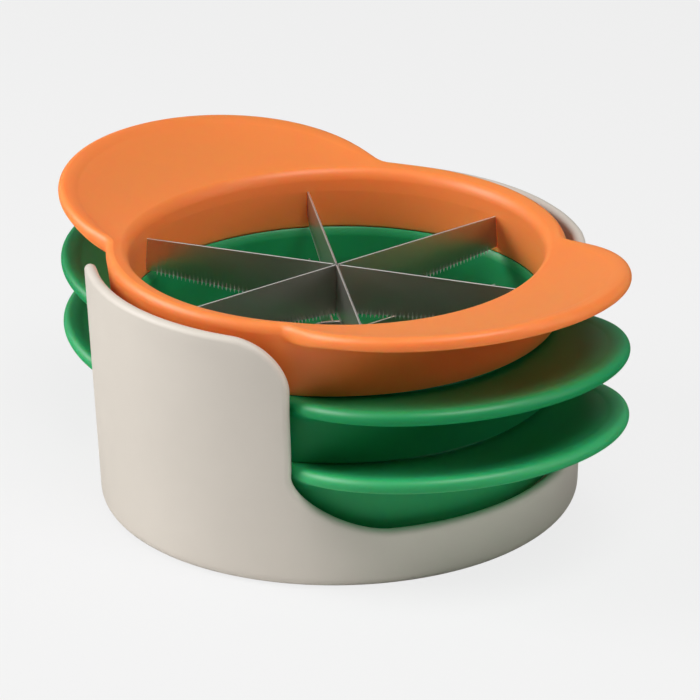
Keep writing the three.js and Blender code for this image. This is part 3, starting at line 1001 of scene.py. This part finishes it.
class SLICER_OT_frames(bpy.types.Operator):
    """Builds the three moulded slicer frames."""

    bl_idname = "slicer.frames"
    bl_label = "Slicer frames"

    def execute(self, context):
        finish = context.scene.slicer_finish
        for prefix, slicer in SLICERS.items():
            base = getattr(finish, prefix)
            plastic = moulded_plastic(
                f"{prefix}_satin", base, finish.plastic_roughness, slicer["sheen"])
            piece = frame_shape(prefix).mesh(f"{prefix}_moulding")
            finish_piece(piece, slicer["body"], f"{prefix}_plastic", [plastic], f"{prefix}_frame")
        return {"FINISHED"}


class SLICER_OT_crossing_blades(bpy.types.Operator):
    """Builds the top slicer's full-width blades."""

    bl_idname = "slicer.crossing_blades"
    bl_label = "Crossing blades"

    def execute(self, context):
        sizes = context.scene.slicer_blade
        shape = frame_shape("orange")
        number = SLICERS["orange"]["blades"]
        for i, angle in enumerate(even_angles(2 * number)[:number]):
            node = f"orange_blade_{i + 1}"
            piece = crossing_blade(sizes, shape, f"orange_cross_blade_{i + 1}", node, i, number)
            turn_and_lift(piece, angle, shape.rim)
            finish_piece(piece, "orange_slicer", "blade_steel", steel_finishes(), node)
        return {"FINISHED"}


class SLICER_OT_cored_blades(bpy.types.Operator):
    """Builds the green slicers' core rings and wedge blades."""

    bl_idname = "slicer.cored_blades"
    bl_label = "Core rings and wedge blades"

    def execute(self, context):
        sizes = context.scene.slicer_blade
        for prefix in ("dark_green", "light_green"):
            shape = frame_shape(prefix)
            slicer = SLICERS[prefix]
            angles = even_angles(slicer["blades"])
            node = f"{prefix}_core_ring"
            ring = core_ring(sizes, f"{prefix}_core_tube", node, angles)
            finish_piece(ring, slicer["body"], "blade_steel", steel_finishes(), node)
            for i, angle in enumerate(angles):
                node = f"{prefix}_blade_{i + 1}"
                piece = radial_blade(sizes, shape, f"{prefix}_wedge_blade_{i + 1}", node)
                turn_and_lift(piece, angle, shape.rim)
                finish_piece(piece, slicer["body"], "blade_steel", steel_finishes(), node)
        return {"FINISHED"}


class SLICER_OT_caddy(bpy.types.Operator):
    """Builds the caddy."""

    bl_idname = "slicer.caddy"
    bl_label = "Caddy"

    def execute(self, context):
        finish = context.scene.slicer_finish
        piece = CaddyShape(context.scene.slicer_caddy).mesh("caddy_moulding")
        plastic = moulded_plastic(
            "off_white_satin", finish.cream, finish.caddy_roughness,
            CADDY_SHEEN, CADDY_GRAIN_STRENGTH, glow=0)
        finish_piece(piece, "caddy", "caddy_plastic", [plastic], "caddy")
        return {"FINISHED"}


# Stage: each lamp's turn to the camera's right and its tilt, in degrees

LAMPS = {"key": (268, 25), "front": (25, 65), "fill": (65, 20)}
CLIP_START = 0.05
CLIP_END = 50.0
FLOOR_REACH = 12.0
FLOOR_IN_GLOSS = 0.1


def view_axes(stage):
    """The camera's right, up and backward directions, without its roll."""
    a, e = stage.azimuth, stage.elevation
    back = Vector((math.sin(a) * math.cos(e), -math.cos(a) * math.cos(e), math.sin(e)))
    right = Vector((math.cos(a), math.sin(a), 0))
    return right, back.cross(right), back


class SLICER_OT_stage(bpy.types.Operator):
    """Sets up the floor, the backdrop, the lamps and the camera."""

    bl_idname = "slicer.stage"
    bl_label = "Stage"

    def execute(self, context):
        scene = context.scene
        stage = scene.slicer_stage
        scene.view_settings.view_transform = "Standard"
        self.add_camera(scene, stage)
        self.add_world(scene, stage)
        self.add_floor(stage)
        for name, (turn, tilt) in LAMPS.items():
            self.add_lamp(stage, name, math.radians(turn), math.radians(tilt))
        return {"FINISHED"}

    def add_lamp(self, stage, name, turn, tilt):
        """A soft round lamp aimed at the object, turned from the camera's side to its right and up."""
        right, _, back = view_axes(stage)
        level = Vector((back.x, back.y, 0)).normalized()
        flat = right * math.sin(turn) + level * math.cos(turn)
        direction = flat * math.cos(tilt) + Vector((0, 0, math.sin(tilt)))
        data = bpy.data.lights.new(f"{name}_lamp", "AREA")
        data.shape = "DISK"
        data.size = stage.lamp_size
        data.energy = getattr(stage, name)
        lamp = bpy.data.objects.new(f"{name}_lamp", data)
        lamp.location = Vector((0, 0, stage.aim_up)) + direction * stage.lamp_distance
        lamp.rotation_euler = direction.to_track_quat("Z", "Y").to_euler()
        bpy.context.scene.collection.objects.link(lamp)

    def add_camera(self, scene, stage):
        right, up, back = view_axes(stage)
        data = bpy.data.cameras.new("camera")
        data.lens = stage.lens
        data.clip_start = CLIP_START
        data.clip_end = CLIP_END
        camera = bpy.data.objects.new("camera", data)
        turn = stage.roll
        across = right * math.cos(turn) + up * math.sin(turn)
        upward = up * math.cos(turn) - right * math.sin(turn)
        place = right * stage.aim_right + up * stage.aim_up + back * stage.distance
        axes = Matrix((across, upward, back)).transposed().to_4x4()
        camera.matrix_world = Matrix.Translation(place) @ axes
        scene.collection.objects.link(camera)
        scene.camera = camera

    def add_world(self, scene, stage):
        """Pale to the camera, dimmer in gloss, and an even light elsewhere."""
        world = bpy.data.worlds.new("studio")
        scene.world = world
        world.use_nodes = True
        graph = Graph(world)
        sky = graph.node("ShaderNodeBackground", {}, {"Color": (1, 1, 1, 1), "Strength": stage.sky})
        drop = graph.node("ShaderNodeBackground", {}, {"Color": (*stage.backdrop, 1), "Strength": 1.0})
        seen = light_ray(graph, "Camera") + light_ray(graph, "Glossy") * stage.gloss_share
        shader = graph.node("ShaderNodeMixShader", {}, {0: seen, 1: sky, 2: drop})
        graph.node("ShaderNodeOutputWorld", {}, {"Surface": shader})

    def add_floor(self, stage):
        """A large pale floor that keeps a faint shadow and stays dim in gloss."""
        corners = [(x * FLOOR_REACH, y * FLOOR_REACH, 0) for x, y in ((-1, -1), (1, -1), (1, 1), (-1, 1))]
        material = new_material("pale_floor")
        graph = Graph(material)
        dim = scaled(stage.backdrop, FLOOR_IN_GLOSS)
        skin = graph.tint(stage.backdrop, dim, light_ray(graph, "Glossy"))
        diffuse = graph.node("ShaderNodeBsdfDiffuse", {}, {"Color": skin})
        glow = graph.node("ShaderNodeEmission", {}, {"Color": (*stage.backdrop, 1), "Strength": 1.0})
        inputs = {0: light_ray(graph, "Camera") * (1 - stage.shadow_share), 1: diffuse, 2: glow}
        shader = graph.node("ShaderNodeMixShader", {}, inputs)
        graph.node("ShaderNodeOutputMaterial", {}, {"Surface": shader})
        floor = add_mesh("floor", corners, [(0, 1, 2, 3)])
        floor.data.materials.append(material)


class SLICER_PT_panel(bpy.types.Panel):
    """Lists the build steps in the 3D view's sidebar."""

    bl_label = "Fruit slicers"
    bl_idname = "SLICER_PT_panel"
    bl_space_type = "VIEW_3D"
    bl_region_type = "UI"
    bl_category = "Slicers"

    def draw(self, context):
        for step in STEPS:
            self.layout.operator(step.bl_idname)
        for name, group in GROUPS.items():
            box = self.layout.box()
            box.label(text=group.bl_rna.name)
            for field in group.__annotations__:
                box.prop(getattr(context.scene, name), field)


STEPS = (
    SLICER_OT_stage,
    SLICER_OT_frames,
    SLICER_OT_crossing_blades,
    SLICER_OT_cored_blades,
    SLICER_OT_caddy,
)


def register():
    for made in (*GROUPS.values(), *STEPS, SLICER_PT_panel):
        bpy.utils.register_class(made)
    for name, group in GROUPS.items():
        setattr(bpy.types.Scene, name, bpy.props.PointerProperty(type=group))


def unregister():
    for name in GROUPS:
        delattr(bpy.types.Scene, name)
    for made in reversed((*GROUPS.values(), *STEPS, SLICER_PT_panel)):
        bpy.utils.unregister_class(made)


def main():
    register()
    bpy.ops.slicer.stage()
    bpy.ops.slicer.frames()
    bpy.ops.slicer.crossing_blades()
    bpy.ops.slicer.cored_blades()
    bpy.ops.slicer.caddy()


if __name__ == "__main__":
    main()
